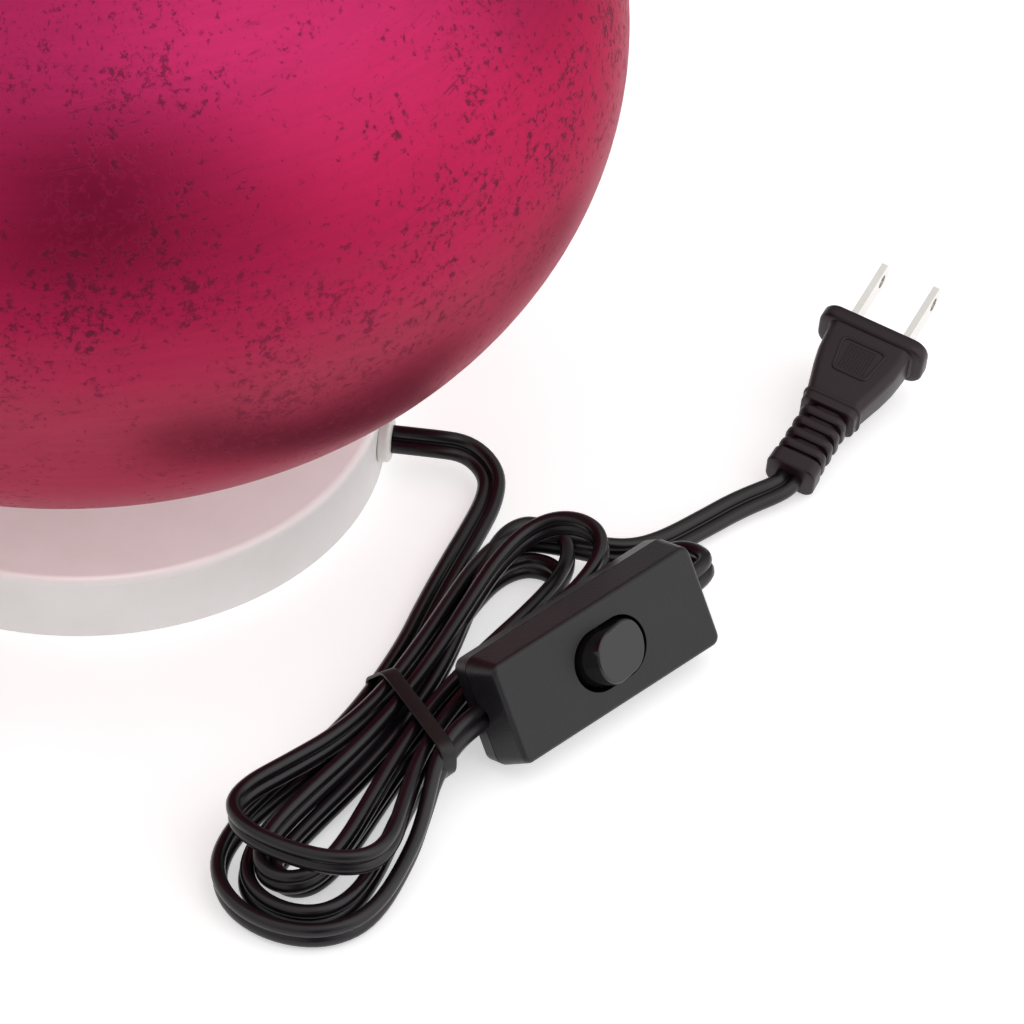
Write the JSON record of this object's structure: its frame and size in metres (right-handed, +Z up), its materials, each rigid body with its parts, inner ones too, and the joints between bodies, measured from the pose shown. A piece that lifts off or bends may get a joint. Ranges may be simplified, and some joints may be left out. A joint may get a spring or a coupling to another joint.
{
  "type": "accent lamp",
  "caption": "Accent lamp: a flattened crimson glass globe on a low round metal base, with a black mains cord tied in a hank, an inline rocker switch and a flat-blade plug.",
  "frame": {"origin": "under the middle of the base, on the surface that the lamp stands on", "axes": "+Z up along the globe's axis, +X towards the side where the cord leaves, -Y towards the picture's viewpoint"},
  "size_m": [0.3052, 0.2776, 0.2046],
  "materials": {
    "base_metal": "satin, faint brushed streaks",
    "steel": "zinc plated",
    "iron": "rough cast",
    "felt": "pressed felt",
    "gasket": "soft silicone",
    "globe_glass": "satin antiqued crimson silvering",
    "holder_plastic": "moulded phenolic",
    "brass": "drawn",
    "bulb_glass": "clear",
    "filament": "phosphor coat",
    "nylon": "milky nylon",
    "cord_vinyl": "smooth vinyl",
    "tie_vinyl": "matte vinyl",
    "switch_plastic": "fine matte texture",
    "rocker_plastic": "polished",
    "plug_vinyl": "moulded vinyl",
    "nickel": "nickel plate"
  },
  "bodies": {
    "base": {"base_shell": "base_metal", "base_plate": "steel", "base_screws": "steel", "felt_ring": "felt", "base_weight": "iron", "globe_gasket": "gasket", "globe_collar": "steel", "globe_clips": "steel", "clip_rivets": "steel", "threaded_nipple": "steel", "nipple_nut": "steel", "nipple_washer": "steel", "socket_body": "holder_plastic", "socket_screw_shell": "brass", "socket_contact": "brass", "cord_bushing": "nylon", "inner_cord": "cord_vinyl", "cord_lead": "cord_vinyl", "cord_wrap": "cord_vinyl", "cord_hank": "cord_vinyl", "cord_switch_in": "cord_vinyl", "cord_switch_out": "cord_vinyl", "cord_tail": "cord_vinyl", "hank_tie": "tie_vinyl", "switch_top_cover": "switch_plastic", "switch_bottom_cover": "switch_plastic", "switch_screws": "steel", "rocker_pin": "steel", "switch_terminals": "brass", "plug_body": "plug_vinyl", "plug_blades": "nickel"},
    "globe": {"glass_globe": "globe_glass"},
    "bulb_screw": {"bulb_contact": "brass", "bulb_insulator": "holder_plastic"},
    "bulb": {"bulb_cap": "brass", "bulb_glass": "bulb_glass", "bulb_stem": "bulb_glass", "bulb_filaments": "filament"},
    "rocker": {"rocker": "rocker_plastic", "bridge_contact": "brass"}
  },
  "joints": [
    {"name": "rocker_tilt", "type": "hinge", "parent": "base", "child": "rocker", "pos_m": [0.11161, -0.08647, 0.01561], "axis": [0.3214, -0.3422, -0.8829], "range_deg": [0, 31.2]},
    {"name": "globe_lift", "type": "slide", "parent": "base", "child": "globe", "axis": [0, 0, 1], "range_m": [0, 0.13]},
    {"name": "bulb_rise", "type": "slide", "parent": "base", "child": "bulb_screw", "axis": [0, 0, 1], "range_m": [0, 0.0103]},
    {"name": "bulb_turn", "type": "hinge", "parent": "bulb_screw", "child": "bulb", "pos_m": [0, 0, 0.05], "axis": [0, 0, 1], "range_deg": [0, 1440]}
  ],
  "couplings": [
    {"joint": "bulb_rise", "follows": "bulb_turn", "m_per_rad": 0.00040425}
  ]
}
